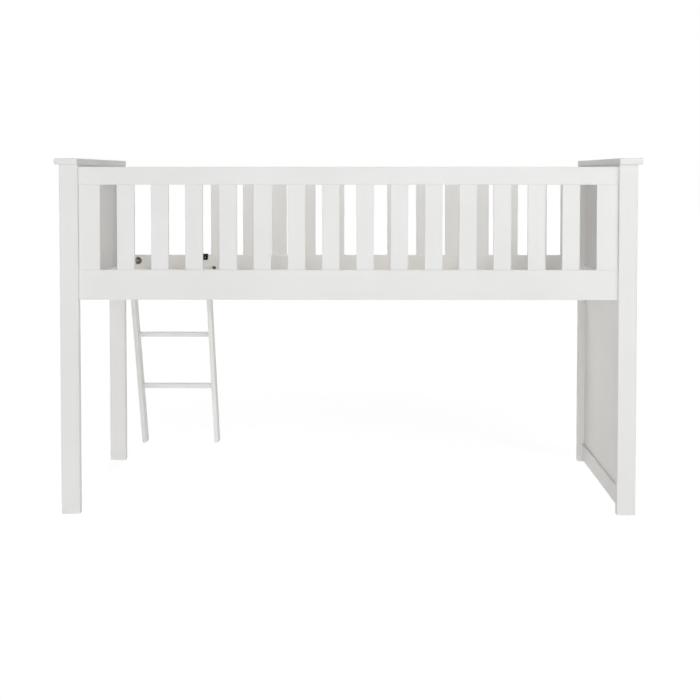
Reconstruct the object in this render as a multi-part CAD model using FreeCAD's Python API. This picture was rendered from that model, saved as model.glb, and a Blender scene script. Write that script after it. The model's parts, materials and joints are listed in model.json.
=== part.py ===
import FreeCAD, Part
import os
from math import cos, pi, radians, sin, tan

# Low loft bed in painted wood: two end frames, slatted guards, a slatted deck and a hook-on ladder.
# Millimetres. +X runs along the bed, -Y is the side of the long guard, +Y the ladder's side, +Z is up.
# The origin is on the floor, in the middle of the footprint with the ladder hooked on.

Vector = FreeCAD.Vector
X_AXIS = Vector(1, 0, 0)
Y_AXIS = Vector(0, 1, 0)
Z_AXIS = Vector(0, 0, 1)
LEFT = -1
RIGHT = 1
FRONT = -1
REAR = 1

# Driving dimensions: the whole bed, measured over the posts
bed_length = 2030.0
bed_width = 1091.0

# Posts
post_width = 66.0
post_depth = 40.0
post_height = 1238.0
post_radius = 4.0
foot_radius_share = 0.9

# Cap boards, flush with the inner faces of the posts
cap_thickness = 22.0
cap_side_overhang = 15.0
cap_end_overhang = 12.0
cap_radius = 3.0
cap_dowel_diameter = 10.0
cap_dowel_length = 40.0
cap_dowel_in_cap = 14.0

# Side rails and top rails, flush with the inner faces of the posts
rail_thickness = 24.0
rail_radius = 2.0
side_rail_bottom = 761.0
side_rail_height = 106.0
top_rail_height = 63.0
top_rail_drop = 8.0
top_rail_dowel_diameter = 10.0
top_rail_dowel_length = 40.0

# Guard stiles and guard slats
stile_width = 75.0
stile_tenon_width = 45.0
stile_tenon_thickness = 8.0
guard_slat_count = 14
rear_guard_slat_count = 11
guard_slat_width = 62.0
guard_slat_thickness = 16.0
guard_slat_tenon = 12.0
guard_slat_radius = 1.5

# End rails and end panels, centred on the width of the posts
end_rail_height = 65.0
end_rail_thickness = 26.0
end_rail_radius = 2.0
end_tenon_length = 20.0
end_tenon_margin = 2.0
panel_thickness = 10.0
panel_tongue = 10.0
bottom_rail_floor_gap = 8.0

# Bolted joints between the side rails and the posts
stud_diameter = 8.0
stud_edge_distance = 24.0
stud_wall_in_post = 4.0
stud_past_nut = 4.0
recess_diameter = 30.0
recess_wall = 1.0
recess_from_post = 57.0
washer_flat_from_centre = 9.0
washer_edge = 2.5
nut_across_flats = 13.0
nut_height = 6.5
nut_room = 0.5

# Bolted joint under the free stile of the rear guard
stile_stud_diameter = 6.0
stile_stud_in_stile = 30.0
stile_stud_from_edge = 12.5
access_hole_diameter = 16.0
access_hole_depth = 18.0
stile_nut_height = 5.0
stile_nut_setback = 5.0

# Deck
cleat_rise = 1.0
cleat_height = 24.0
cleat_width = 28.0
cleat_end_gap = 80.0
cleat_radius = 1.5
bed_slat_count = 14
bed_slat_width = 70.0
bed_slat_thickness = 18.0
bed_slat_end_gap = 4.0
bed_slat_radius = 1.5

# Ladder
ladder_post_gap = 5.0
ladder_stile_gap = 15.0
ladder_tilt = 25.5
stringer_thickness = 18.0
stringer_width = 80.0
stringer_radius = 2.0
stringer_top_drop = 5.0
rung_count = 3
rung_first_height = 267.0
rung_spacing = 240.0
rung_thickness = 20.0
rung_depth = 40.0
rung_radius = 3.0
rung_inset = 2.0
rung_housing = 6.0
rung_screw_shares = (0.25, 0.75)

# Ladder hooks, bent from steel strap
hook_thickness = 4.0
hook_width = 22.0
hook_tongue = 21.0
hook_leg = 75.0
hook_corner_radius = 5.0
hook_hole_diameter = 5.0
hook_screw_shares = (0.4, 0.75)

# Wood screws
screw_diameter = 4.5
screw_head_diameter = 9.0
screw_drive_length = 5.0
screw_drive_width = 1.2
screw_drive_depth = 1.8
cleat_screw_length = 42.0
bed_slat_screw_length = 34.0
rung_screw_length = 45.0
hook_screw_length = 28.0

# Clearances, and how far every cut runs past the face that it opens
joint_clearance = 0.15
fastener_clearance = 0.1
hook_clearance = 0.3
hook_side_clearance = 0.6
overrun = 3.0
tolerance = 1e-6

# Places worked out from the driving dimensions
half_length = bed_length / 2
half_width = bed_width / 2
post_inner_x = half_length - post_width
post_middle_x = half_length - post_width / 2
post_inner_y = half_width - post_depth
rail_outer_y = post_inner_y + rail_thickness
rail_middle_y = post_inner_y + rail_thickness / 2
rail_top = side_rail_bottom + side_rail_height
top_rail_bottom = post_height - top_rail_drop - top_rail_height
top_rail_middle = top_rail_bottom + top_rail_height / 2
nut_corner_radius = nut_across_flats / 2 / cos(pi / 6)
recess_floor_y = rail_middle_y + nut_corner_radius + nut_room
stud_heights = (side_rail_bottom + stud_edge_distance, rail_top - stud_edge_distance)
stile_tenon_length = stud_edge_distance - recess_diameter / 2 - recess_wall
stud_in_post = (post_width - panel_thickness) / 2 - stud_wall_in_post
stile_inner_x = post_inner_x - stile_width
guard_slat_gap = (2 * stile_inner_x - guard_slat_count * guard_slat_width) / (guard_slat_count + 1)
guard_slat_pitch = guard_slat_width + guard_slat_gap
free_stile_right = stile_inner_x - rear_guard_slat_count * guard_slat_pitch - guard_slat_gap
free_stile_left = free_stile_right - stile_width
access_hole_height = side_rail_bottom + side_rail_height / 2
cleat_bottom = side_rail_bottom + cleat_rise
cleat_top = cleat_bottom + cleat_height
deck_top = cleat_top + bed_slat_thickness
cleat_end_x = post_inner_x - cleat_end_gap
cleat_inner_y = post_inner_y - cleat_width
cleat_middle_y = post_inner_y - cleat_width / 2
bed_slat_pitch = (2 * cleat_end_x - bed_slat_width) / (bed_slat_count - 1)
end_tenon_shoulder = panel_tongue + end_tenon_margin

# Heights of the rails and of the panels between them, for each end
deck_rail_span = (side_rail_bottom, side_rail_bottom + end_rail_height)
top_end_rail_span = (post_height - end_rail_height, post_height)
bottom_end_rail_span = (bottom_rail_floor_gap, bottom_rail_floor_gap + end_rail_height)
upper_panel_span = (deck_rail_span[1] - panel_tongue, top_end_rail_span[0] + panel_tongue)
lower_panel_span = (bottom_end_rail_span[1] - panel_tongue, deck_rail_span[0] + panel_tongue)
end_rail_spans = {
    LEFT: {"top_rail": top_end_rail_span, "deck_rail": deck_rail_span},
    RIGHT: {
        "top_rail": top_end_rail_span,
        "deck_rail": deck_rail_span,
        "bottom_rail": bottom_end_rail_span,
    },
}
end_panel_spans = {
    LEFT: {"panel": upper_panel_span},
    RIGHT: {"upper_panel": upper_panel_span, "lower_panel": lower_panel_span},
}

# The ladder's rake: its near edge leans away from the rail on the way down
tilt = radians(ladder_tilt)
stringer_run = stringer_width / cos(tilt)
stringer_top = rail_top - stringer_top_drop
ladder_top_y = rail_outer_y + hook_side_clearance + hook_thickness / cos(tilt)
ladder_left = ladder_post_gap - post_inner_x
ladder_right = free_stile_left - ladder_stile_gap
stringer_up = Vector(0, -sin(tilt), cos(tilt))
stringer_inward = Vector(0, cos(tilt), sin(tilt))


def block(xs, ys, zs):
    """A box between two values on each axis, given in either order."""
    low = Vector(min(xs), min(ys), min(zs))
    size = Vector(max(xs), max(ys), max(zs)) - low
    return Part.makeBox(size.x, size.y, size.z, low)


def eased(shape, radius, axis):
    """Round the straight edges that run along an axis."""
    edges = [edge for edge in shape.Edges if edge.Curve.Direction.cross(axis).Length < tolerance]
    return shape.makeFillet(radius, edges)


def rod(diameter, start, end):
    """A round bar, or the drill for its hole, between two points."""
    run = end - start
    return Part.makeCylinder(diameter / 2, run.Length, start, run)


def screw_form(length, extra=0):
    """A countersunk wood screw, its head at the origin and its tip up; extra is room for its hole."""
    shank = screw_diameter / 2 + extra
    head = screw_head_diameter / 2 + extra
    outline = [
        Vector(0, 0, 0),
        Vector(head, 0, 0),
        Vector(shank, 0, head - shank),
        Vector(shank, 0, length + extra),
        Vector(0, 0, length + extra),
        Vector(0, 0, 0),
    ]
    return Part.Face(Part.makePolygon(outline)).revolve(Vector(0, 0, 0), Z_AXIS, 360)


def set_along(solid, start, direction):
    """Move a solid made at the origin so that it starts at a point and runs in a direction."""
    solid.Placement = FreeCAD.Placement(start, FreeCAD.Rotation(Z_AXIS, direction))
    return solid


def screw(length, head_centre, direction):
    """A wood screw with a cross recess in its head."""
    long_way = (-screw_drive_length / 2, screw_drive_length / 2)
    short_way = (-screw_drive_width / 2, screw_drive_width / 2)
    depth = (-overrun, screw_drive_depth)
    cross = [block(long_way, short_way, depth), block(short_way, long_way, depth)]
    return set_along(screw_form(length).cut(cross), head_centre, direction)


def screw_hole(length, head_centre, direction):
    """The cutter for a screw's hole."""
    return set_along(screw_form(length, fastener_clearance), head_centre, direction)


def cut_all(shape, tools):
    """Cut a list of tools from a shape."""
    return shape.cut(tools) if tools else shape


def slotted(low, high, clearance):
    """A span widened by a clearance at both ends."""
    return (low - clearance, high + clearance)


# Guard slats: the left edge of each one, counted from the left, and those that the rear guard has
def guard_slat_lefts(side):
    first = guard_slat_gap - stile_inner_x
    lefts = [first + index * guard_slat_pitch for index in range(guard_slat_count)]
    return lefts if side == FRONT else lefts[-rear_guard_slat_count:]


def guard_slat_ys(side, clearance=0):
    half = guard_slat_thickness / 2 + clearance
    middle = side * rail_middle_y
    return (middle - half, middle + half)


def guard_slats(side):
    zs = (rail_top - guard_slat_tenon, top_rail_bottom + guard_slat_tenon - joint_clearance)
    slats = []
    for left in guard_slat_lefts(side):
        slat = block((left, left + guard_slat_width), guard_slat_ys(side), zs)
        slats.append(eased(slat, guard_slat_radius, Z_AXIS))
    return Part.makeCompound(slats)


def guard_slat_mortises(side, zs):
    cutters = []
    for left in guard_slat_lefts(side):
        xs = slotted(left, left + guard_slat_width, joint_clearance)
        cutters.append(block(xs, guard_slat_ys(side, joint_clearance), zs))
    return cutters


# Guard stiles: each has its span along the bed, and all but the free one a tenon at the foot
def stile_spans(side):
    left = (-post_inner_x, -stile_inner_x) if side == FRONT else (free_stile_left, free_stile_right)
    return {LEFT: left, RIGHT: (stile_inner_x, post_inner_x)}


def is_free(side, end):
    return side == REAR and end == LEFT


def stile_tenon(side, span, zs, clearance=0):
    middle_x = sum(span) / 2
    middle_y = side * rail_middle_y
    half_width_x = stile_tenon_width / 2 + clearance
    half_thickness = stile_tenon_thickness / 2 + clearance
    xs = (middle_x - half_width_x, middle_x + half_width_x)
    return block(xs, (middle_y - half_thickness, middle_y + half_thickness), zs)


def foot_tenon_zs(clearance=0):
    return (rail_top - stile_tenon_length - clearance, rail_top)


def head_tenon_zs(clearance=0):
    return (top_rail_bottom, top_rail_bottom + stile_tenon_length + clearance)


def free_stile_stud_xs():
    return (free_stile_left + stile_stud_from_edge, free_stile_right - stile_stud_from_edge)


def free_stile_stud(x, extra=0):
    nut_bottom = access_hole_height
    start = Vector(x, rail_middle_y, nut_bottom - extra)
    end = Vector(x, rail_middle_y, rail_top + stile_stud_in_stile + extra)
    return rod(stile_stud_diameter + 2 * extra, start, end)


def stile(side, end):
    span = stile_spans(side)[end]
    ys = (side * post_inner_y, side * rail_outer_y)
    shape = eased(block(span, ys, (rail_top, top_rail_bottom)), rail_radius, Z_AXIS)
    shape = shape.fuse(stile_tenon(side, span, head_tenon_zs()))
    if is_free(side, end):
        return cut_all(shape, [free_stile_stud(x, fastener_clearance) for x in free_stile_stud_xs()])
    return shape.fuse(stile_tenon(side, span, foot_tenon_zs()))


# Bolted joint at each end of a side rail: stud, recess, half-moon washer and nut
def stud_y(side):
    return side * rail_middle_y


def recess_centre(end, side, height):
    return Vector(end * (post_inner_x - recess_from_post), stud_y(side), height)


def rail_stud(end, side, height, extra=0):
    past_nut = washer_flat_from_centre - nut_height - stud_past_nut
    start = Vector(end * (post_inner_x + stud_in_post + extra), stud_y(side), height)
    finish = recess_centre(end, side, height) + X_AXIS * end * past_nut
    return rod(stud_diameter + 2 * extra, start, finish)


def recess(end, side, height):
    centre = recess_centre(end, side, height)
    floor = Vector(centre.x, side * recess_floor_y, height)
    mouth = Vector(centre.x, side * (post_inner_y - overrun), height)
    return rod(recess_diameter, floor, mouth)


def half_moon_washer(end, side, height):
    centre = recess_centre(end, side, height)
    floor_y = side * (recess_floor_y - fastener_clearance)
    lip_y = side * (post_inner_y + washer_edge)
    start = Vector(centre.x, floor_y, height)
    disc = rod(recess_diameter - 2 * fastener_clearance, start, Vector(centre.x, lip_y, height))
    flat_x = centre.x + end * washer_flat_from_centre
    zs = (height - recess_diameter, height + recess_diameter)
    half_disc = disc.common(block((flat_x, flat_x + end * recess_diameter), (floor_y, lip_y), zs))
    return half_disc.cut(rail_stud(end, side, height, fastener_clearance))


def rail_nut(end, side, height):
    face_x = recess_centre(end, side, height).x + end * washer_flat_from_centre
    corners = []
    for index in range(7):
        angle = index * pi / 3 + pi / 2
        y = stud_y(side) + nut_corner_radius * cos(angle)
        corners.append(Vector(face_x, y, height + nut_corner_radius * sin(angle)))
    prism = Part.Face(Part.makePolygon(corners)).extrude(X_AXIS * -end * nut_height)
    return prism.cut(rail_stud(end, side, height, fastener_clearance))


def at_each_rail_end(maker):
    """One piece of the bolted joint for each stud."""
    corners = [(end, side) for end in (LEFT, RIGHT) for side in (FRONT, REAR)]
    return Part.makeCompound([maker(*corner, height) for corner in corners for height in stud_heights])


# Side rails
def access_hole(x):
    mouth = Vector(x, post_inner_y - overrun, access_hole_height)
    floor = Vector(x, post_inner_y + access_hole_depth, access_hole_height)
    return rod(access_hole_diameter, mouth, floor)


def stile_nut(x):
    """A half-moon nut that fills the upper half of the access hole behind its mouth."""
    ys = (post_inner_y + stile_nut_setback, post_inner_y + access_hole_depth - fastener_clearance)
    start, end = (Vector(x, y, access_hole_height) for y in ys)
    disc = rod(access_hole_diameter - 2 * fastener_clearance, start, end)
    flat = access_hole_height + access_hole_diameter / 2 - stile_nut_height
    xs = (x - access_hole_diameter, x + access_hole_diameter)
    half_disc = disc.common(block(xs, ys, (flat, flat + access_hole_diameter)))
    return half_disc.cut(free_stile_stud(x, fastener_clearance))


def cleat_screw_places(side):
    """Head centres on the cleat's inner face, midway between two deck slats, in every other gap."""
    places = []
    for index in range(0, bed_slat_count - 1, 2):
        x = bed_slat_left(index) + (bed_slat_width + bed_slat_pitch) / 2
        places.append(Vector(x, side * cleat_inner_y, cleat_bottom + cleat_height / 2))
    return places


def side_rail(side):
    ys = (side * post_inner_y, side * rail_outer_y)
    shape = block((-post_inner_x, post_inner_x), ys, (side_rail_bottom, rail_top))
    shape = eased(shape, rail_radius, X_AXIS)
    cutters = guard_slat_mortises(side, (rail_top - guard_slat_tenon, rail_top + overrun))
    for end, span in stile_spans(side).items():
        if not is_free(side, end):
            low, high = foot_tenon_zs(joint_clearance)
            cutters.append(stile_tenon(side, span, (low, high + overrun), joint_clearance))
    for end in (LEFT, RIGHT):
        for height in stud_heights:
            cutters.append(recess(end, side, height))
            cutters.append(rail_stud(end, side, height, fastener_clearance))
    if side == REAR:
        for x in free_stile_stud_xs():
            cutters.append(access_hole(x))
            cutters.append(free_stile_stud(x, fastener_clearance))
    for place in cleat_screw_places(side):
        cutters.append(screw_hole(cleat_screw_length, place, Y_AXIS * side))
    return cut_all(shape, cutters)


# Top rails: the front one runs from post to post, the rear one from the free stile to a post
def top_rail_ends(side):
    return (LEFT, RIGHT) if side == FRONT else (RIGHT,)


def top_rail_dowel(end, side, extra=0):
    middle = Vector(end * post_inner_x, side * rail_middle_y, top_rail_middle)
    half = X_AXIS * (top_rail_dowel_length / 2 + extra)
    return rod(top_rail_dowel_diameter + 2 * extra, middle - half, middle + half)


def top_rail(side):
    ys = (side * post_inner_y, side * rail_outer_y)
    xs = (stile_spans(side)[LEFT][0], post_inner_x)
    shape = block(xs, ys, (top_rail_bottom, top_rail_bottom + top_rail_height))
    shape = eased(shape, rail_radius, X_AXIS)
    cutters = guard_slat_mortises(side, (top_rail_bottom - overrun, top_rail_bottom + guard_slat_tenon))
    for span in stile_spans(side).values():
        low, high = head_tenon_zs(joint_clearance)
        cutters.append(stile_tenon(side, span, (low - overrun, high), joint_clearance))
    for end in top_rail_ends(side):
        cutters.append(top_rail_dowel(end, side, fastener_clearance))
    return cut_all(shape, cutters)


def top_rail_dowels():
    dowels = []
    for side in (FRONT, REAR):
        dowels += [top_rail_dowel(end, side) for end in top_rail_ends(side)]
    return Part.makeCompound(dowels)


# End frames: rails tenoned into the posts, panels held in grooves
def around_end(end, thickness, clearance=0):
    """A span across the thickness of an end frame."""
    half = thickness / 2 + clearance
    return (end * post_middle_x - half, end * post_middle_x + half)


def end_tenon(end, side, span, clearance=0):
    low, high = span
    ys = (side * (post_inner_y - overrun), side * (post_inner_y + end_tenon_length + clearance))
    zs = slotted(low + end_tenon_shoulder, high - end_tenon_shoulder, clearance)
    return block(around_end(end, panel_thickness, clearance), ys, zs)


def panel_groove(end, span):
    reach = post_inner_y + panel_tongue + joint_clearance
    xs = around_end(end, panel_thickness, joint_clearance)
    return block(xs, (-reach, reach), (span[0], span[1] + joint_clearance))


def end_rail(end, span):
    ys = (-post_inner_y, post_inner_y)
    shape = eased(block(around_end(end, end_rail_thickness), ys, span), end_rail_radius, Y_AXIS)
    shape = cut_all(shape, [panel_groove(end, panel) for panel in end_panel_spans[end].values()])
    return shape.fuse([end_tenon(end, side, span) for side in (FRONT, REAR)])


def end_panel(end, span):
    reach = post_inner_y + panel_tongue
    return block(around_end(end, panel_thickness), (-reach, reach), span)


# Posts and caps
def cap_dowel(end, side, extra=0):
    """A dowel in the wood that the rail's tenon leaves whole, behind the post's outer face."""
    x = end * post_middle_x
    y = side * (half_width - (post_depth - end_tenon_length) / 2)
    bottom = post_height + cap_dowel_in_cap - cap_dowel_length - extra
    top = Vector(x, y, post_height + cap_dowel_in_cap + extra)
    return rod(cap_dowel_diameter + 2 * extra, Vector(x, y, bottom), top)


def cap_dowels():
    return Part.makeCompound([cap_dowel(end, side) for end in (LEFT, RIGHT) for side in (FRONT, REAR)])


def cap(end):
    xs = (end * post_inner_x, end * (half_length + cap_side_overhang))
    reach = half_width + cap_end_overhang
    shape = block(xs, (-reach, reach), (post_height, post_height + cap_thickness))
    shape = shape.makeFillet(cap_radius, shape.Edges)
    return cut_all(shape, [cap_dowel(end, side, fastener_clearance) for side in (FRONT, REAR)])


def post(end, side):
    xs = (end * post_inner_x, end * half_length)
    ys = (side * post_inner_y, side * half_width)
    shape = eased(block(xs, ys, (0, post_height)), post_radius, Z_AXIS)
    foot_edges = [edge for edge in shape.Edges if edge.BoundBox.ZMax < tolerance]
    shape = shape.makeFillet(post_radius * foot_radius_share, foot_edges)
    cutters = [panel_groove(end, span) for span in end_panel_spans[end].values()]
    for span in end_rail_spans[end].values():
        cutters.append(end_tenon(end, side, span, joint_clearance))
    for height in stud_heights:
        cutters.append(rail_stud(end, side, height, fastener_clearance))
    if end in top_rail_ends(side):
        cutters.append(top_rail_dowel(end, side, fastener_clearance))
    cutters.append(cap_dowel(end, side, fastener_clearance))
    return cut_all(shape, cutters)


# Deck: a cleat along each side rail, and slats across them
def bed_slat_left(index):
    return index * bed_slat_pitch - cleat_end_x


def bed_slat_screw_place(index, side):
    return Vector(bed_slat_left(index) + bed_slat_width / 2, side * cleat_middle_y, deck_top)


def bed_slat(index):
    left = bed_slat_left(index)
    reach = post_inner_y - bed_slat_end_gap
    shape = block((left, left + bed_slat_width), (-reach, reach), (cleat_top, deck_top))
    shape = eased(shape, bed_slat_radius, Y_AXIS)
    places = [bed_slat_screw_place(index, side) for side in (FRONT, REAR)]
    return cut_all(shape, [screw_hole(bed_slat_screw_length, place, -Z_AXIS) for place in places])


def bed_slat_screws():
    screws = []
    for index in range(bed_slat_count):
        for side in (FRONT, REAR):
            screws.append(screw(bed_slat_screw_length, bed_slat_screw_place(index, side), -Z_AXIS))
    return Part.makeCompound(screws)


def cleat(side):
    xs = (-cleat_end_x, cleat_end_x)
    ys = (side * cleat_inner_y, side * post_inner_y)
    shape = eased(block(xs, ys, (cleat_bottom, cleat_top)), cleat_radius, X_AXIS)
    cutters = []
    for place in cleat_screw_places(side):
        cutters.append(screw_hole(cleat_screw_length, place, Y_AXIS * side))
    for index in range(bed_slat_count):
        cutters.append(screw_hole(bed_slat_screw_length, bed_slat_screw_place(index, side), -Z_AXIS))
    return cut_all(shape, cutters)


def cleat_screws():
    screws = []
    for side in (FRONT, REAR):
        for place in cleat_screw_places(side):
            screws.append(screw(cleat_screw_length, place, Y_AXIS * side))
    return Part.makeCompound(screws)


# Ladder: raked stringers with level rungs housed in them
def near_edge_y(height):
    """The stringers' edge that faces the bed, at a height above the floor."""
    return ladder_top_y + tan(tilt) * (rail_top - height)


def stringer_span(end):
    if end == LEFT:
        return (ladder_left, ladder_left + stringer_thickness)
    return (ladder_right - stringer_thickness, ladder_right)


def rung_heights():
    return [rung_first_height + index * rung_spacing for index in range(rung_count)]


def rung_far_y(height):
    """The rung's far face, just inside the stringers' far edge at the level of the tread."""
    return near_edge_y(height + rung_thickness / 2) + stringer_run - rung_inset


def rung_form(height, clearance=0):
    """A rung, or with a clearance the cutter for its housings."""
    reach = rung_housing - joint_clearance + clearance
    inner_left = stringer_span(LEFT)[1]
    inner_right = stringer_span(RIGHT)[0]
    far = rung_far_y(height)
    half = rung_thickness / 2
    ys = slotted(far - rung_depth, far, clearance)
    zs = slotted(height - half, height + half, clearance)
    return eased(block((inner_left - reach, inner_right + reach), ys, zs), rung_radius, X_AXIS)


def rung(height):
    return cut_all(rung_form(height), [screw_hole(*place) for place in rung_screw_places([height])])


def rung_screw_places(heights):
    """Length, head centre and direction of each screw through a stringer into a rung."""
    places = []
    for height in heights:
        for end, head_x in ((LEFT, ladder_left), (RIGHT, ladder_right)):
            for share in rung_screw_shares:
                y = rung_far_y(height) - rung_depth * share
                places.append((rung_screw_length, Vector(head_x, y, height), X_AXIS * -end))
    return places


def stringer(end):
    left, right = stringer_span(end)
    foot = near_edge_y(0)
    head = near_edge_y(stringer_top)
    outline = [
        Vector(left, foot, 0),
        Vector(left, foot + stringer_run, 0),
        Vector(left, head + stringer_run, stringer_top),
        Vector(left, head, stringer_top),
        Vector(left, foot, 0),
    ]
    shape = Part.Face(Part.makePolygon(outline)).extrude(X_AXIS * stringer_thickness)
    shape = eased(shape, stringer_radius, stringer_up)
    cutters = [rung_form(height, joint_clearance) for height in rung_heights()]
    cutters += [screw_hole(*place) for place in rung_screw_places(rung_heights())]
    cutters += [screw_hole(*place) for place in hook_screw_places(end)]
    return cut_all(shape, cutters)


def rung_screws():
    return Part.makeCompound([screw(*place) for place in rung_screw_places(rung_heights())])


# Hooks: a strap that lies on the stringer's near edge, crosses the rail and drops inside it
def hook_points(end):
    """The strap's middle line from the tongue's tip, over the rail and down the stringer."""
    x = sum(stringer_span(end)) / 2
    half = hook_thickness / 2
    tongue_y = post_inner_y - hook_clearance - half
    bridge_z = rail_top + hook_clearance + half
    bend_y = near_edge_y(bridge_z) - half / cos(tilt)
    bend = Vector(x, bend_y, bridge_z)
    tip = Vector(x, tongue_y, rail_top - hook_tongue)
    return [tip, Vector(x, tongue_y, bridge_z), bend, bend - stringer_up * hook_leg]


def bent_path(points, radius):
    """A wire through the points, with each corner bent to one radius."""
    edges = []
    start = points[0]
    for before, corner, after in zip(points, points[1:], points[2:]):
        back = (before - corner).normalize()
        ahead = (after - corner).normalize()
        half_angle = back.getAngle(ahead) / 2
        arc_start = corner + back * (radius / tan(half_angle))
        arc_end = corner + ahead * (radius / tan(half_angle))
        arc_middle = corner + (back + ahead).normalize() * (radius / sin(half_angle) - radius)
        edges.append(Part.LineSegment(start, arc_start).toShape())
        edges.append(Part.Arc(arc_start, arc_middle, arc_end).toShape())
        start = arc_end
    edges.append(Part.LineSegment(start, points[-1]).toShape())
    return Part.Wire(edges)


def round_tip(strap, tip, run):
    """Round the two corners of a strap's end, which lies square to its run."""
    corners = []
    for edge in strap.Edges:
        in_end = all(abs((vertex.Point - tip).dot(run)) < tolerance for vertex in edge.Vertexes)
        if in_end and edge.BoundBox.XLength < tolerance:
            corners.append(edge)
    return strap.makeFillet(hook_corner_radius, corners)


def hook_screw_places(end):
    """Length, head centre and direction of each screw through a hook's leg into the stringer."""
    bend = hook_points(end)[2]
    on_face = bend - stringer_inward * (hook_thickness / 2)
    places = []
    for share in hook_screw_shares:
        places.append((hook_screw_length, on_face - stringer_up * hook_leg * share, stringer_inward))
    return places


def hook(end):
    points = hook_points(end)
    tip = points[0]
    half_width_x = X_AXIS * (hook_width / 2)
    half_thickness = Y_AXIS * (hook_thickness / 2)
    section = [
        tip - half_width_x - half_thickness,
        tip + half_width_x - half_thickness,
        tip + half_width_x + half_thickness,
        tip - half_width_x + half_thickness,
        tip - half_width_x - half_thickness,
    ]
    path = bent_path(points, rail_radius + hook_thickness / 2)
    strap = path.makePipeShell([Part.makePolygon(section)], True, False)
    strap = round_tip(strap, tip, Z_AXIS)
    strap = round_tip(strap, points[-1], stringer_up)
    hole_middle = tip + Z_AXIS * (hook_tongue / 2)
    cutters = [rod(hook_hole_diameter, hole_middle - Y_AXIS * overrun, hole_middle + Y_AXIS * overrun)]
    cutters += [screw_hole(*place) for place in hook_screw_places(end)]
    return cut_all(strap, cutters)


def hook_screws():
    places = hook_screw_places(LEFT) + hook_screw_places(RIGHT)
    return Part.makeCompound([screw(*place) for place in places])


# All the pieces, by name
pieces = {}
end_names = {LEFT: "left", RIGHT: "right"}
side_names = {FRONT: "front", REAR: "rear"}

for end, end_name in end_names.items():
    pieces[f"{end_name}_cap"] = cap(end)
    for rail_name, span in end_rail_spans[end].items():
        pieces[f"{end_name}_end_{rail_name}"] = end_rail(end, span)
    for panel_name, span in end_panel_spans[end].items():
        pieces[f"{end_name}_end_{panel_name}"] = end_panel(end, span)
    pieces[f"{end_name}_stringer"] = stringer(end)
    pieces[f"{end_name}_hook"] = hook(end)

for side, side_name in side_names.items():
    pieces[f"{side_name}_side_rail"] = side_rail(side)
    pieces[f"{side_name}_top_rail"] = top_rail(side)
    pieces[f"{side_name}_guard_slats"] = guard_slats(side)
    pieces[f"{side_name}_cleat"] = cleat(side)
    for end, end_name in end_names.items():
        pieces[f"{side_name}_{end_name}_post"] = post(end, side)
        pieces[f"{side_name}_{end_name}_stile"] = stile(side, end)

for index in range(bed_slat_count):
    pieces[f"bed_slat_{index + 1:02d}"] = bed_slat(index)

for index, height in enumerate(rung_heights()):
    pieces[f"rung_{index + 1:02d}"] = rung(height)

pieces["rail_studs"] = at_each_rail_end(rail_stud)
pieces["half_moon_washers"] = at_each_rail_end(half_moon_washer)
pieces["rail_nuts"] = at_each_rail_end(rail_nut)
pieces["stile_studs"] = Part.makeCompound([free_stile_stud(x) for x in free_stile_stud_xs()])
pieces["stile_nuts"] = Part.makeCompound([stile_nut(x) for x in free_stile_stud_xs()])
pieces["cap_dowels"] = cap_dowels()
pieces["top_rail_dowels"] = top_rail_dowels()
pieces["cleat_screws"] = cleat_screws()
pieces["bed_slat_screws"] = bed_slat_screws()
pieces["rung_screws"] = rung_screws()
pieces["hook_screws"] = hook_screws()

# Centre the footprint on the origin, from the front of the caps to the far edge of the ladder's feet
front_edge = -(half_width + cap_end_overhang)
far_edge = near_edge_y(0) + stringer_run
to_origin = Vector(0, -(front_edge + far_edge) / 2, 0)

os.makedirs("parts", exist_ok=True)
for name, shape in pieces.items():
    shape.translate(to_origin)
    shape.exportStep(f"parts/{name}.step")
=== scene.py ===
import json
from math import pi, radians

import bpy
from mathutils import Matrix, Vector


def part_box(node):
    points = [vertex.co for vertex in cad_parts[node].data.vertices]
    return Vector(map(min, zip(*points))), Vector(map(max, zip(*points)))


# Low loft bed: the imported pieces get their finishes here, then come the floor, the light and the camera.
# Metres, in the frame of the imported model.

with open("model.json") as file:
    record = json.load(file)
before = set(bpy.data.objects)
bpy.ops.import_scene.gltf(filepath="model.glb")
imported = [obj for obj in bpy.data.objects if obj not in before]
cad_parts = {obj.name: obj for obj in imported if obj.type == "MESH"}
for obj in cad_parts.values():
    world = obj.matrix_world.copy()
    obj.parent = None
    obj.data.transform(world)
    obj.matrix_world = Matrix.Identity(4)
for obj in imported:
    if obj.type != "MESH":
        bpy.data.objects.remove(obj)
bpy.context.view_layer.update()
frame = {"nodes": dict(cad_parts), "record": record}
nodes = frame["nodes"]

# Camera, a little under the cap boards and right of the middle: degrees, and millimetres for lens and sensor
CAMERA_PLACE = (0.0763, -6.2955, 1.2038)
CAMERA_LEVEL = 90.0
CAMERA_PITCH = -2.576
CAMERA_YAW = 0.715
CAMERA_LENS = 80.84
CAMERA_SENSOR = 36.0
CAMERA_SHIFT_Y = -0.15
CAMERA_REACH = 200.0

# Lamps: name, place, point aimed at, width, height, watts
LAMPS = (
    ("right_softbox", (2.4, -3.2, 3.2), (0.9, -0.6, 1.0), 1.0, 1.0, 24.7),
    ("left_softbox", (-2.6, -0.6, 2.6), (1.0, 0.0, 0.9), 1.2, 1.2, 8.9),
    ("top_softbox", (0.0, -0.4, 3.8), (0.0, -0.2, 0.0), 4.0, 3.0, 14.6),
)

# Broad light from straight in front, from high in front and from high behind: direction, sharpness, strength
WALLS = (
    ((0.0, -1.0, 0.03), 60.0, 11.0),
    ((0.0, -1.0, 0.5), 20.0, 2.7),
    ((0.0, 0.9, 0.45), 20.0, 6.1),
)

# In the values below, a noise is its scale, its detail and its roughness. A span is two ends of a range and,
# where they aren't 0 and 1, what is given there. A bump is its strength and its height in metres.

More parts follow.
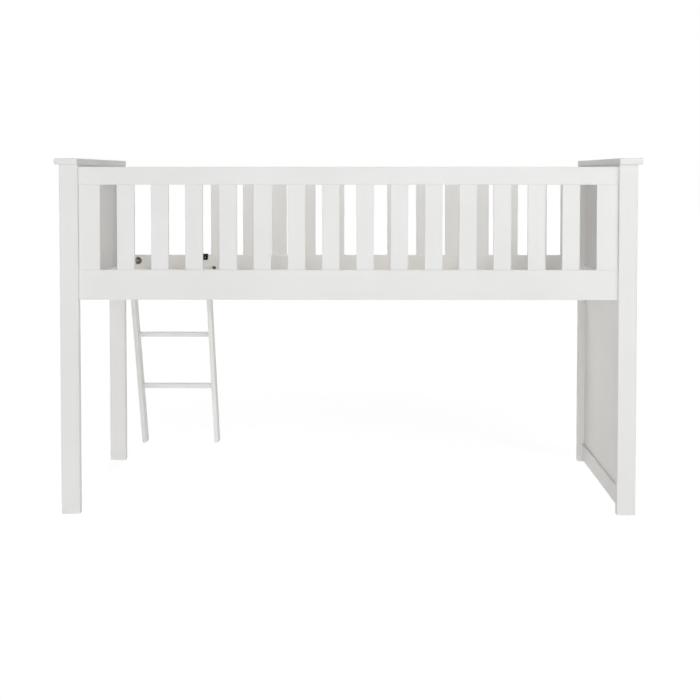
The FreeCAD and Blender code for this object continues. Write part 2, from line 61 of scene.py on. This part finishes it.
# Floor: half its width, and what the bed gets back from it, off a pale cloudy surface and as light of its own
FLOOR_HALF = 40.0
FLOOR_ALBEDO = 0.92
FLOOR_ALBEDO_LOSS = 0.02
FLOOR_CLOUD_NOISE = (1.5, 2.0, 0.5)
FLOOR_LIGHT = 0.27

# What the camera sees of the floor: a surface that takes the shadow, and a glow that grows with the distance
FLOOR_SHADE = 0.4
FLOOR_NEAR = 0.8
FLOOR_FAR = 5.0
FLOOR_GLOW_NEAR = 0.80
FLOOR_GLOW_FAR = 0.87

# Side rails: recesses of the bolted end joints, and holes to the nuts under the free stile of the rear guard
RECESS_FROM_POST = 0.057
RECESS_FROM_EDGE = 0.024
RECESS_DIAMETER = 0.030
ACCESS_FROM_STILE_EDGE = 0.0125
ACCESS_DIAMETER = 0.016

# The bare wood in them: it takes in their walls, and starts where the paint ends
BARE_MARGIN = 0.0004
BARE_DEPTH = 0.0012

# Rake of the ladder's stringers from upright, in degrees
LADDER_RAKE = 25.5

# Colours, linear
WHITE = (1.0, 1.0, 1.0, 1.0)
PAINT_LIGHT = (0.865, 0.864, 0.857, 1.0)
PAINT_SHADE = (0.845, 0.843, 0.834, 1.0)
PAINT_THIN = (0.800, 0.785, 0.757, 1.0)
PINE_EARLY = (0.735, 0.668, 0.565, 1.0)
PINE_EARLY_WARM = (0.700, 0.618, 0.495, 1.0)
PINE_LATE = (0.580, 0.465, 0.345, 1.0)
PINE_KNOT = (0.170, 0.075, 0.032, 1.0)
# Dark colour of the bored wood: painted shade for the depth of the recesses and access holes
PINE_CUT_PAINTED_SHADE = (0.300, 0.240, 0.205, 1.0)
BEECH_PALE = (0.560, 0.370, 0.220, 1.0)
BEECH_FLECK = (0.400, 0.230, 0.120, 1.0)
STEEL_BLACK = (0.005, 0.005, 0.0055, 1.0)
STEEL_BLACK_WORN = (0.014, 0.014, 0.015, 1.0)
ZINC_BRIGHT = (0.600, 0.605, 0.620, 1.0)
ZINC_DULL = (0.440, 0.440, 0.430, 1.0)

# Sockets of the mix node: its share, then the pairs that it mixes and their results
MIX_SHARE = 0
MIX_NUMBERS = (2, 3)
MIX_COLOURS = (6, 7)
MIXED_NUMBER = 0
MIXED_COLOUR = 2


class Graph:
    """A node tree, and short ways to add nodes to it."""

    def __init__(self, tree):
        self.tree = tree

    def node(self, kind, inputs=None, **settings):
        """A new node; each of its inputs is fed with a value or with the output of another node."""
        made = self.tree.nodes.new("ShaderNode" + kind)
        for name, value in settings.items():
            setattr(made, name, value)
        for key, value in (inputs or {}).items():
            self.feed(made.inputs[key], value)
        return made

    def feed(self, socket, value):
        if isinstance(value, bpy.types.NodeSocket):
            self.tree.links.new(value, socket)
        else:
            socket.default_value = value

    def math(self, operation, *values):
        return self.node("Math", dict(enumerate(values)), operation=operation).outputs[0]

    def plus(self, first, second):
        return self.math("ADD", first, second)

    def minus(self, first, second):
        return self.math("SUBTRACT", first, second)

    def times(self, first, second):
        return self.math("MULTIPLY", first, second)

    def absolute(self, value):
        return self.math("ABSOLUTE", value)

    def vector(self, operation, *values):
        made = self.node("VectorMath", dict(enumerate(values)), operation=operation)
        return made.outputs["Value" if operation in ("LENGTH", "DOT_PRODUCT") else "Vector"]

    def stretched(self, vector, factors):
        return self.vector("MULTIPLY", vector, factors)

    def span(self, value, low, high, start=0.0, end=1.0):
        """Map a value from one range to another, smoothly and held at both ends."""
        inputs = {"Value": value, "From Min": low, "From Max": high, "To Min": start, "To Max": end}
        return self.node("MapRange", inputs, interpolation_type="SMOOTHSTEP").outputs["Result"]

    def noise(self, vector, scale, detail, rough):
        inputs = {"Vector": vector, "Scale": scale, "Detail": detail, "Roughness": rough}
        return self.node("TexNoise", inputs).outputs["Fac"]

    def mix(self, share, first, second):
        """A colour between two others."""
        inputs = {MIX_SHARE: share, **dict(zip(MIX_COLOURS, (first, second)))}
        return self.node("Mix", inputs, data_type="RGBA").outputs[MIXED_COLOUR]

    def between(self, share, first, second):
        """A number between two others."""
        inputs = {MIX_SHARE: share, **dict(zip(MIX_NUMBERS, (first, second)))}
        return self.node("Mix", inputs, data_type="FLOAT").outputs[MIXED_NUMBER]

    def split(self, vector):
        return self.node("SeparateXYZ", {"Vector": vector}).outputs

    def join(self, x, y, z):
        return self.node("CombineXYZ", {"X": x, "Y": y, "Z": z}).outputs["Vector"]

    def place(self):
        """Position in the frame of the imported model; it goes along with a piece that moves."""
        return self.node("TexCoord").outputs["Object"]

    def facing(self):
        """Direction that the surface faces, in the same frame."""
        return self.node("TexCoord").outputs["Normal"]

    def turned(self, vector, degrees):
        """A vector turned round the X axis."""
        inputs = {"Vector": vector, "Rotation": (radians(degrees), 0.0, 0.0)}
        return self.node("Mapping", inputs, vector_type="POINT").outputs["Vector"]

    def bump(self, height, strength, distance):
        inputs = {"Height": height, "Strength": strength, "Distance": distance}
        return self.node("Bump", inputs).outputs["Normal"]

    def seen(self):
        """1 for rays that show the floor and backdrop themselves, 0 for the light that these give."""
        path = self.node("LightPath").outputs
        direct = self.math("MAXIMUM", path["Is Camera Ray"], path["Is Glossy Ray"])
        return self.math("MAXIMUM", direct, path["Is Transmission Ray"])


class Finish(Graph):
    """A material with its node tree and its surface shader."""

    SOCKETS = {"colour": "Base Color", "rough": "Roughness", "metal": "Metallic",
               "specular": "Specular IOR Level", "normal": "Normal"}

    def __init__(self, name):
        self.material = bpy.data.materials.new(name)
        self.material.use_nodes = True
        super().__init__(self.material.node_tree)
        self.surface = self.tree.nodes["Principled BSDF"]

    def set(self, **values):
        for key, value in values.items():
            self.feed(self.surface.inputs[self.SOCKETS[key]], value)


# Pine: each piece is shifted by its own luck, along the grain and into another layer of knots
PINE_SHIFT_RUN = 37.0
PINE_SHIFT_LAYER = 11.0
PINE_WARMTH_NOISE = (3.0, 2.0, 0.5)
PINE_ROUGH_SPAN = (0.2, 0.9, 0.66, 0.52)
PINE_SPECULAR = 0.35
PINE_BUMP = (0.5, 0.0003)

# Knots: cells per metre, the luck above which a cell has one, its radius, and how it bends the rings
KNOT_CELLS = 6.5
KNOT_LUCK = 0.70
KNOT_RADIUS = 0.006
KNOT_RADIUS_GAIN = 0.03
KNOT_CORE_SHARE = 0.55
KNOT_SWIRL_REACH = 5.0
KNOT_SWIRL_RINGS = 3.2
KNOT_TONE_SHARE = 0.9

# Growth rings: how far the pith lies aside and drifts, and how the late wood comes and goes in a ring
RINGS_PER_METRE = 260.0
RING_ASIDE_SHARE = 0.35
PITH_SPREAD = 0.10
PITH_DRIFT = 0.055
PITH_DRIFT_STRETCH = (4.0, 1.6, 1.0)
PITH_DRIFT_NOISE = (1.0, 2.0, 0.5)
NOISE_MIDDLE = 0.5
LATE_COMES_SPAN = (0.35, 0.88)
LATE_GOES_SPAN = (1.0, 0.93)
LATE_TONE_SHARE = 0.55
LATE_HEIGHT_SHARE = 0.4

# Fibres: fine across the grain, long along it
FIBRE_STRETCH = (420.0, 9.0, 420.0)
FIBRE_NOISE = (1.0, 3.0, 0.6)
FIBRE_TONE_SPAN = (0.45, 0.75, 0.0, 0.22)
FIBRE_HEIGHT_SHARE = 0.6


def pine_colour(g, place, along):
    """Sawn pine: growth rings round a pith outside the piece, knots, and fibres along the grain."""
    x, y, z = g.split(place)
    across, run, up = {"x": (y, x, z), "y": (x, y, z), "z": (x, z, y)}[along]
    luck = g.node("ObjectInfo").outputs["Random"]
    run = g.plus(run, g.times(luck, PINE_SHIFT_RUN))
    flat = g.join(across, run, g.times(luck, PINE_SHIFT_LAYER))
    solid = g.join(across, run, up)

    cells = g.node("TexVoronoi", {"Vector": flat, "Scale": KNOT_CELLS})
    far = g.math("DIVIDE", cells.outputs["Distance"], KNOT_CELLS)
    cell_luck = g.split(cells.outputs["Color"])[0]
    present = g.math("GREATER_THAN", cell_luck, KNOT_LUCK)
    radius = g.plus(KNOT_RADIUS, g.times(g.minus(cell_luck, KNOT_LUCK), KNOT_RADIUS_GAIN))
    knot = g.times(g.span(far, radius, g.times(radius, KNOT_CORE_SHARE)), present)
    swirl = g.times(g.span(far, g.times(radius, KNOT_SWIRL_REACH), 0.0), present)

    pith = g.minus(g.times(luck, PITH_SPREAD), PITH_SPREAD / 2)
    slow = g.noise(g.stretched(solid, PITH_DRIFT_STRETCH), *PITH_DRIFT_NOISE)
    drift = g.times(g.minus(slow, NOISE_MIDDLE), PITH_DRIFT)
    aside = g.times(g.minus(across, pith), RING_ASIDE_SHARE)
    from_pith = g.vector("LENGTH", g.join(aside, 0.0, g.plus(up, drift)))
    rings = g.plus(g.times(from_pith, RINGS_PER_METRE), g.times(swirl, KNOT_SWIRL_RINGS))
    phase = g.math("FRACT", rings)
    late = g.times(g.span(phase, *LATE_COMES_SPAN), g.span(phase, *LATE_GOES_SPAN))
    fibre = g.noise(g.stretched(solid, FIBRE_STRETCH), *FIBRE_NOISE)

    tone = g.mix(g.noise(flat, *PINE_WARMTH_NOISE), PINE_EARLY, PINE_EARLY_WARM)
    tone = g.mix(g.times(late, LATE_TONE_SHARE), tone, PINE_LATE)
    tone = g.mix(g.span(fibre, *FIBRE_TONE_SPAN), tone, PINE_LATE)
    tone = g.mix(g.times(knot, KNOT_TONE_SHARE), tone, PINE_KNOT)
    height = g.plus(g.times(late, LATE_HEIGHT_SHARE), g.times(fibre, FIBRE_HEIGHT_SHARE))
    return tone, height


def bare_pine(name, along):
    """Pine with no paint on it: the deck's slats and their cleats."""
    g = Finish(name)
    tone, height = pine_colour(g, g.place(), along)
    rough = g.span(height, *PINE_ROUGH_SPAN)
    g.set(colour=tone, rough=rough, specular=PINE_SPECULAR, normal=g.bump(height, *PINE_BUMP))
    return g.material


def within(g, first, second, radius):
    """1 where two distances at right angles lie inside a circle."""
    return g.math("LESS_THAN", g.vector("LENGTH", g.join(first, second, 0.0)), radius)


def behind_paint(g, y, front_face, rear_face):
    """1 between a rail's faces, deeper than the paint reaches."""
    past_front = g.math("GREATER_THAN", y, front_face + BARE_DEPTH)
    past_rear = g.math("LESS_THAN", y, rear_face - BARE_DEPTH)
    return g.times(past_front, past_rear)


def bare_share(g, place):
    """1 where a side rail is bare: in the recesses of both rails, and in the access holes of the rear one."""
    x, y, z = g.split(place)
    low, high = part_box("rear_side_rail")
    front_low, front_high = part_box("front_side_rail")
    stile_low, stile_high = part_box("rear_left_stile")
    recess_x = high.x - RECESS_FROM_POST
    recess_apart = (high.z - low.z) / 2 - RECESS_FROM_EDGE
    access_apart = (stile_high.x - stile_low.x) / 2 - ACCESS_FROM_STILE_EDGE
    from_level = g.minus(z, (low.z + high.z) / 2)
    from_stile = g.minus(x, (stile_low.x + stile_high.x) / 2)
    from_recess = (g.minus(g.absolute(from_level), recess_apart), g.minus(g.absolute(x), recess_x))
    from_access = (g.minus(g.absolute(from_stile), access_apart), from_level)
    recess = within(g, *from_recess, RECESS_DIAMETER / 2 + BARE_MARGIN)
    access = within(g, *from_access, ACCESS_DIAMETER / 2 + BARE_MARGIN)
    in_front = g.times(recess, behind_paint(g, y, front_low.y, front_high.y))
    in_rear = g.times(g.math("MAXIMUM", recess, access), behind_paint(g, y, low.y, high.y))
    return g.plus(in_front, in_rear)


# Paint: grain that shows through, long in the direction that a piece runs, a slow cloud, and a fine stipple
GRAIN_STRETCH = {"x": (3.0, 85.0, 85.0), "y": (85.0, 3.0, 85.0), "z": (85.0, 85.0, 3.0)}
GRAIN_NOISE = (1.0, 5.0, 0.62)
GRAIN_TONE_SPAN = (0.52, 0.80, 0.0, 0.35)
GRAIN_HEIGHT_SHARE = 0.6
PAINT_CLOUD_NOISE = (2.6, 3.0, 0.55)
PAINT_CLOUD_SPAN = (0.3, 0.7)
PAINT_ROUGH = (0.36, 0.44)
STIPPLE_NOISE = (520.0, 2.0, 0.5)
STIPPLE_ROUGH = 0.06
STIPPLE_HEIGHT_SHARE = 0.4
PAINT_SPECULAR = 0.42
PAINT_BUMP = (0.35, 0.00025)

# Edges: told from faces by how squarely they face an axis, with thinner and smoother paint
EDGE_SPAN = (0.985, 0.80)
EDGE_SMOOTHER = 0.06
THIN_NOISE = (38.0, 4.0, 0.65)
THIN_SPAN = (0.42, 0.72)
THIN_TONE_SHARE = 0.30

# Bored wood: rougher and coarser than a planed face, and darkened as painted shade for the depth of the holes
CUT_PAINTED_SHADE_SHARE = 0.75
CUT_ROUGHER = 0.3
CUT_COARSER = 2.0


def white_paint(name, along, rake=0.0, bared=False):
    """Satin paint over wood: softly uneven, a little grain showing, and thinner paint on the edges."""
    g = Finish(name)
    place = g.turned(g.place(), rake) if rake else g.place()
    facing = g.turned(g.facing(), rake) if rake else g.facing()
    grain = g.noise(g.stretched(place, GRAIN_STRETCH[along]), *GRAIN_NOISE)
    cloud = g.noise(place, *PAINT_CLOUD_NOISE)
    stipple = g.noise(place, *STIPPLE_NOISE)
    nx, ny, nz = (g.absolute(part) for part in g.split(facing))
    squareness = g.math("MAXIMUM", nx, g.math("MAXIMUM", ny, nz))
    edge = g.span(squareness, *EDGE_SPAN)
    thin = g.times(edge, g.span(g.noise(place, *THIN_NOISE), *THIN_SPAN))
    tone = g.mix(g.span(cloud, *PAINT_CLOUD_SPAN), PAINT_LIGHT, PAINT_SHADE)
    tone = g.mix(g.span(grain, *GRAIN_TONE_SPAN), tone, PAINT_SHADE)
    tone = g.mix(g.times(thin, THIN_TONE_SHARE), tone, PAINT_THIN)
    rough = g.plus(g.span(cloud, *PAINT_CLOUD_SPAN, *PAINT_ROUGH), g.times(stipple, STIPPLE_ROUGH))
    rough = g.minus(rough, g.times(edge, EDGE_SMOOTHER))
    height = g.plus(g.times(grain, GRAIN_HEIGHT_SHARE), g.times(stipple, STIPPLE_HEIGHT_SHARE))
    # Bored wood in the recesses and access holes: its own grain, rougher and coarser, and darker as painted
    # shade
    if bared:
        share = bare_share(g, g.place())
        wood, wood_height = pine_colour(g, g.place(), along)
        tone = g.mix(share, tone, g.mix(CUT_PAINTED_SHADE_SHARE, wood, PINE_CUT_PAINTED_SHADE))
        rough = g.plus(rough, g.times(share, CUT_ROUGHER))
        height = g.plus(height, g.times(g.times(share, wood_height), CUT_COARSER))
    g.set(colour=tone, rough=rough, specular=PAINT_SPECULAR, normal=g.bump(height, *PAINT_BUMP))
    return g.material


# Beech: flecks that stand upright, as the dowels under the caps do
FLECK_STRETCH = (500.0, 500.0, 90.0)
FLECK_NOISE = (1.0, 3.0, 0.6)
FLECK_SPAN = (0.5, 0.7)
BEECH_CLOUD_NOISE = (40.0, 2.0, 0.5)
BEECH_ROUGH_SPAN = (0.3, 0.7, 0.55, 0.68)
BEECH_SPECULAR = 0.35
BEECH_BUMP = (0.3, 0.0002)


def dowel_beech(name):
    """Turned beech: short dark flecks in pale wood."""
    g = Finish(name)
    place = g.place()
    fleck = g.noise(g.stretched(place, FLECK_STRETCH), *FLECK_NOISE)
    cloud = g.noise(place, *BEECH_CLOUD_NOISE)
    tone = g.mix(g.span(fleck, *FLECK_SPAN), BEECH_PALE, BEECH_FLECK)
    rough = g.span(cloud, *BEECH_ROUGH_SPAN)
    g.set(colour=tone, rough=rough, specular=BEECH_SPECULAR, normal=g.bump(fleck, *BEECH_BUMP))
    return g.material


# Black steel: the texture of its powder coat, and where that is rubbed paler and smoother
COAT_TEXTURE_NOISE = (1500.0, 2.0, 0.5)
COAT_RUB_NOISE = (160.0, 4.0, 0.65)
COAT_RUB_SPAN = (0.55, 0.8, 0.0, 0.7)
COAT_ROUGH_SPAN = (0.35, 0.75, 0.50, 0.38)
COAT_SPECULAR = 0.25
COAT_BUMP = (0.35, 0.00012)


def black_steel(name):
    """Black powder coat: a fine even texture, rubbed a little in places."""
    g = Finish(name)
    place = g.place()
    texture = g.noise(place, *COAT_TEXTURE_NOISE)
    rub = g.noise(place, *COAT_RUB_NOISE)
    tone = g.mix(g.span(rub, *COAT_RUB_SPAN), STEEL_BLACK, STEEL_BLACK_WORN)
    rough = g.span(rub, *COAT_ROUGH_SPAN)
    g.set(colour=tone, rough=rough, specular=COAT_SPECULAR, normal=g.bump(texture, *COAT_BUMP))
    return g.material


# Zinc plate: cells of its spangle per metre, how far spangle and cloud dull it, and the studs' thread
SPANGLE_CELLS = 900.0
ZINC_CLOUD_NOISE = (220.0, 3.0, 0.6)
ZINC_DULL_SHARE = 0.5
ZINC_ROUGH_SPAN = (0.3, 0.7, 0.40, 0.54)
ZINC_CLOUD_HEIGHT_SHARE = 0.2
ZINC_BUMP = (0.6, 0.0005)
THREAD_PITCH = 0.00125
THREAD_HEIGHT_SHARE = 0.5


def zinc_steel(name, thread=""):
    """Bright zinc plate with a faint spangle; a stud has the ridges of a thread along one axis."""
    g = Finish(name)
    place = g.place()
    cells = g.node("TexVoronoi", {"Vector": place, "Scale": SPANGLE_CELLS})
    spangle = g.split(cells.outputs["Color"])[0]
    cloud = g.noise(place, *ZINC_CLOUD_NOISE)
    tone = g.mix(g.times(g.plus(spangle, cloud), ZINC_DULL_SHARE), ZINC_BRIGHT, ZINC_DULL)
    rough = g.span(cloud, *ZINC_ROUGH_SPAN)
    height = g.times(cloud, ZINC_CLOUD_HEIGHT_SHARE)
    if thread:
        along = g.split(place)["xyz".index(thread)]
        ridge = g.math("SINE", g.times(along, 2 * pi / THREAD_PITCH))
        height = g.plus(height, g.times(ridge, THREAD_HEIGHT_SHARE))
    g.set(colour=tone, rough=rough, metal=1.0, normal=g.bump(height, *ZINC_BUMP))
    return g.material


# Painted pieces that run upright or from front to rear, by the ends of their names; the others run lengthwise
UPRIGHT = ("post", "stile", "slats", "panel")
FRONT_TO_REAR = ("cap", "end_top_rail", "end_deck_rail", "end_bottom_rail")

# Studs, with the axis that their thread follows
THREADS = {"rail_studs": "x", "stile_studs": "z"}


def kind_of(name, slot):
    """The kind of finish that a piece has, and the direction of its grain or thread."""
    if slot == "white_paint":
        if name.endswith("side_rail"):
            return "paint_bared_shaded", "x"
        if name.endswith("stringer"):
            return "paint_raked", "z"
        if name.endswith(UPRIGHT):
            return "paint", "z"
        return "paint", "y" if name.endswith(FRONT_TO_REAR) else "x"
    if slot == "bare_pine":
        return "pine", "x" if name.endswith("cleat") else "y"
    if name in THREADS:
        return "zinc_thread", THREADS[name]
    return slot, ""


MAKERS = {
    "paint": white_paint,
    "paint_bared_shaded": lambda label, along: white_paint(label, along, bared=True),
    "paint_raked": lambda label, along: white_paint(label, along, rake=-LADDER_RAKE),
    "pine": bare_pine,
    "zinc_thread": zinc_steel,
    "zinc_steel": zinc_steel,
    "dowel_beech": lambda label, along: dowel_beech(label),
    "black_steel": lambda label, along: black_steel(label),
}

finishes = {}
for part in frame["record"]["subparts"]:
    kind, along = kind_of(part["node"], part["material_slot"])
    label = f"{kind}_{along}" if along else kind
    if label not in finishes:
        finishes[label] = MAKERS[kind](label, along)
    piece = nodes[part["node"]]
    if not piece.material_slots:
        piece.data.materials.append(finishes[label])
    for slot in piece.material_slots:
        slot.material = finishes[label]


def grey(level):
    """A grey of one linear level."""
    return (level, level, level, 1.0)


def floor_material():
    """White to the camera, with the bed's shadow kept; a plain pale floor to all other light."""
    g = Finish("floor")
    g.tree.nodes.remove(g.surface)
    output = g.tree.nodes["Material Output"]
    cloud = g.noise(g.place(), *FLOOR_CLOUD_NOISE)
    colour = g.mix(cloud, grey(FLOOR_ALBEDO), grey(FLOOR_ALBEDO - FLOOR_ALBEDO_LOSS))
    pale = g.node("BsdfDiffuse", {"Color": colour})
    lit = g.node("Emission", {"Color": WHITE, "Strength": FLOOR_LIGHT})
    under = g.node("AddShader", {0: pale.outputs[0], 1: lit.outputs[0]})
    veil = g.node("BsdfDiffuse", {"Color": grey(FLOOR_SHADE)})
    away = g.vector("LENGTH", g.place())
    strength = g.span(away, FLOOR_NEAR, FLOOR_FAR, FLOOR_GLOW_NEAR, FLOOR_GLOW_FAR)
    glow = g.node("Emission", {"Color": WHITE, "Strength": strength})
    shown = g.node("AddShader", {0: veil.outputs[0], 1: glow.outputs[0]})
    both = g.node("MixShader", {0: g.seen(), 1: under.outputs[0], 2: shown.outputs[0]})
    g.feed(output.inputs["Surface"], both.outputs[0])
    return g.material


corner_signs = ((-1, -1), (1, -1), (1, 1), (-1, 1))
corners = [(x * FLOOR_HALF, y * FLOOR_HALF, 0.0) for x, y in corner_signs]
floor_mesh = bpy.data.meshes.new("floor")
floor_mesh.from_pydata(corners, [], [range(len(corners))])
floor = bpy.data.objects.new("floor", floor_mesh)
floor_mesh.materials.append(floor_material())
bpy.context.scene.collection.objects.link(floor)

# Backdrop: white where it is seen, and the light of the walls for everything else
world = bpy.data.worlds.new("studio")
bpy.context.scene.world = world
world.use_nodes = True
world.node_tree.nodes.clear()
sky = Graph(world.node_tree)
way = sky.node("TexCoord").outputs["Generated"]
light = 0.0
for direction, sharpness, strength in WALLS:
    towards = sky.math("MAXIMUM", sky.vector("DOT_PRODUCT", way, Vector(direction).normalized()), 0.0)
    light = sky.plus(light, sky.times(sky.math("POWER", towards, sharpness), strength))
level = sky.between(sky.seen(), light, 1.0)
backdrop = sky.node("Background", {"Color": WHITE, "Strength": level})
sky.node("OutputWorld", {"Surface": backdrop.outputs[0]})

for name, place, aim, width, height, watts in LAMPS:
    lamp = bpy.data.lights.new(name, "AREA")
    lamp.shape = "RECTANGLE"
    lamp.size = width
    lamp.size_y = height
    lamp.energy = watts
    holder = bpy.data.objects.new(name, lamp)
    holder.location = place
    holder.rotation_euler = (Vector(aim) - Vector(place)).to_track_quat("-Z", "Y").to_euler()
    holder.visible_camera = False
    bpy.context.scene.collection.objects.link(holder)

lens = bpy.data.cameras.new("camera")
lens.lens = CAMERA_LENS
lens.sensor_width = CAMERA_SENSOR
lens.shift_y = CAMERA_SHIFT_Y
lens.clip_end = CAMERA_REACH
camera = bpy.data.objects.new("camera", lens)
camera.location = CAMERA_PLACE
camera.rotation_euler = (radians(CAMERA_LEVEL + CAMERA_PITCH), 0.0, radians(CAMERA_YAW))
bpy.context.scene.collection.objects.link(camera)
bpy.context.scene.camera = camera
bpy.context.scene.view_settings.view_transform = "Standard"
